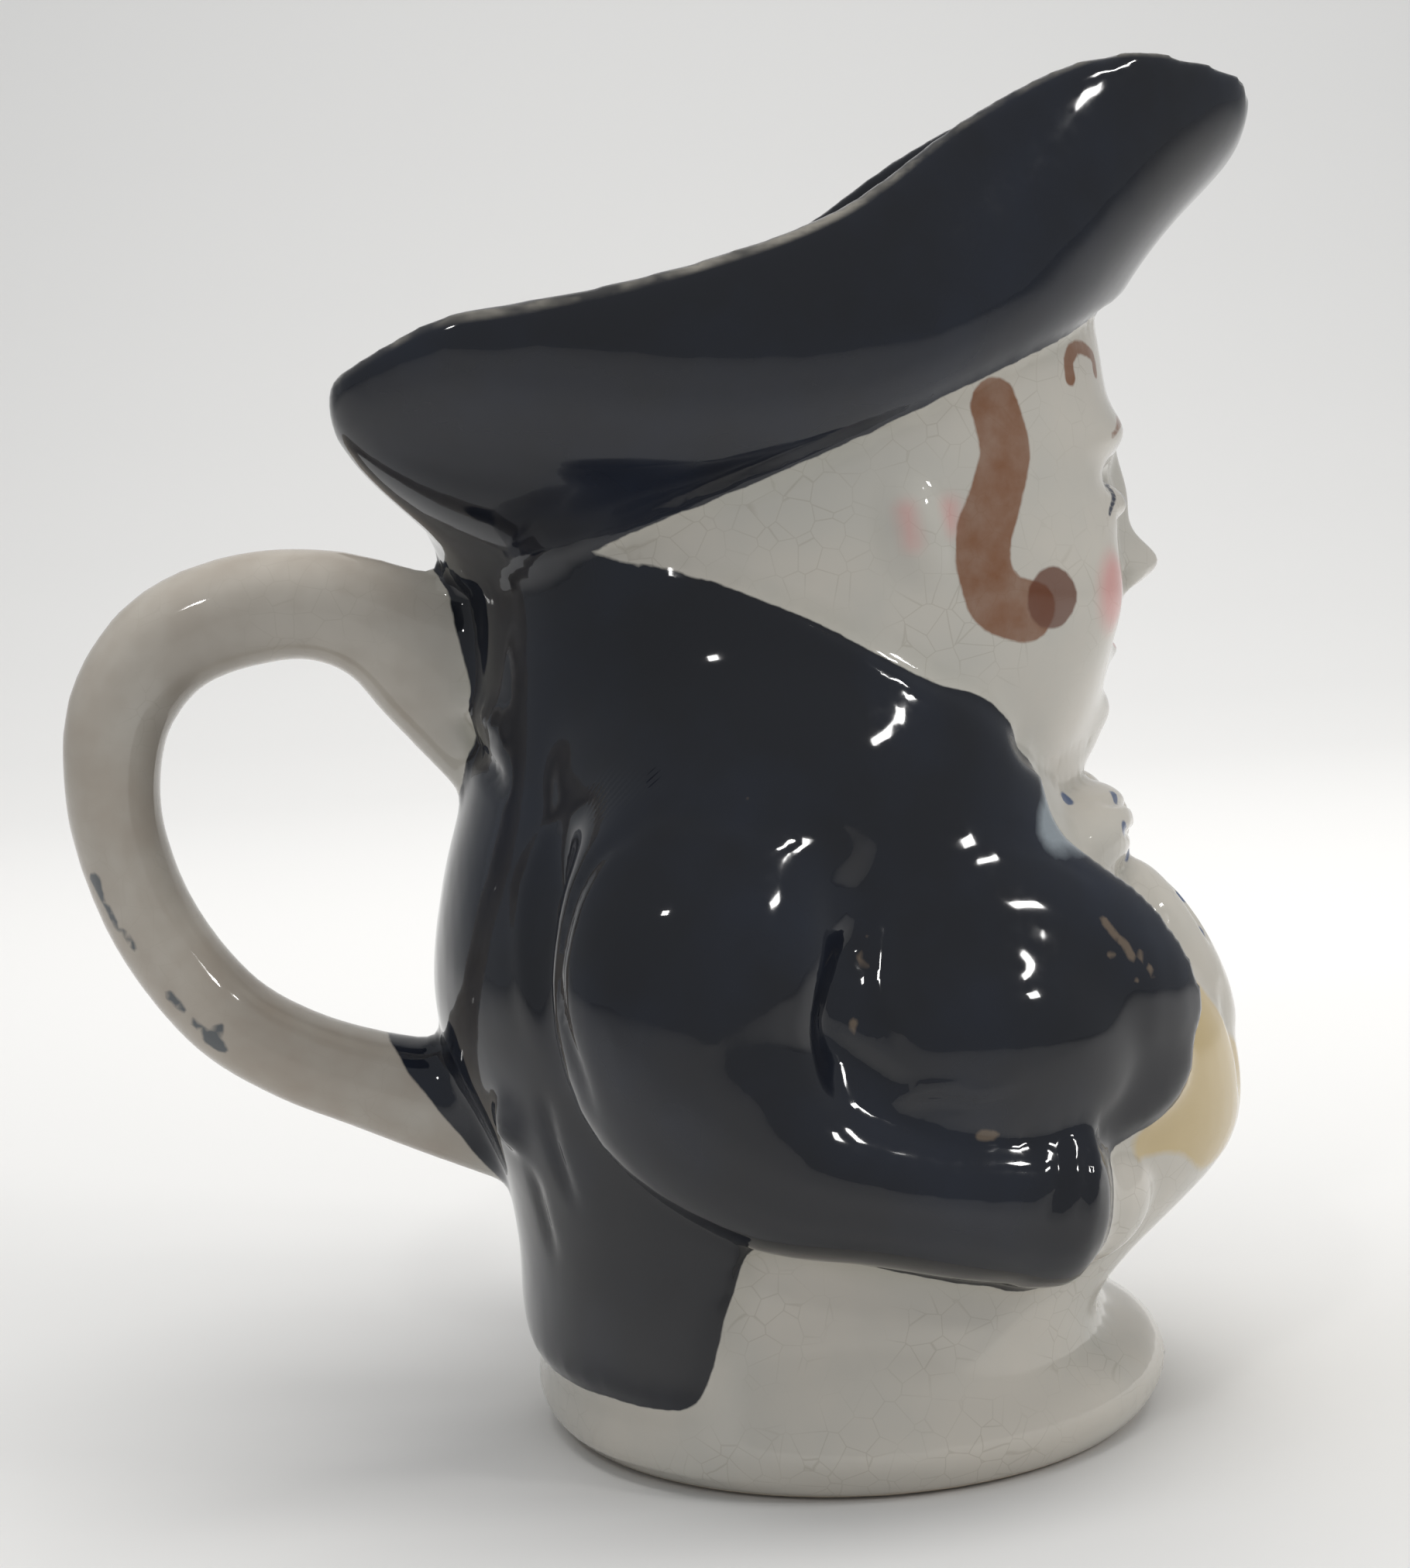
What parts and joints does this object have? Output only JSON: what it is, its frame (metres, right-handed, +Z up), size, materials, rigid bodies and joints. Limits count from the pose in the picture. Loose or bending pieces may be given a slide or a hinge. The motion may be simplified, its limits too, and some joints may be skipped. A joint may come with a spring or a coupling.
{
  "type": "toby jug",
  "caption": "Pottery jug in the form of a stout standing man in a three-cornered hat whose brim is the rim and whose front corner pours, with a loop handle at the back.",
  "frame": {"origin": "centre of the flat underside of the foot, on the surface the jug stands on", "axes": "+Z up, the figure faces -Y so the pouring lip is at -Y and the handle at +Y, and the figure's right side is at -X"},
  "size_m": [0.0846, 0.1173, 0.1288],
  "materials": {
    "glazed_pottery": "high-gloss clear glaze over painted near-black, white, yellow, blue and brown"
  },
  "bodies": {
    "root": {"toby_jug": "glazed_pottery"}
  },
  "joints": []
}
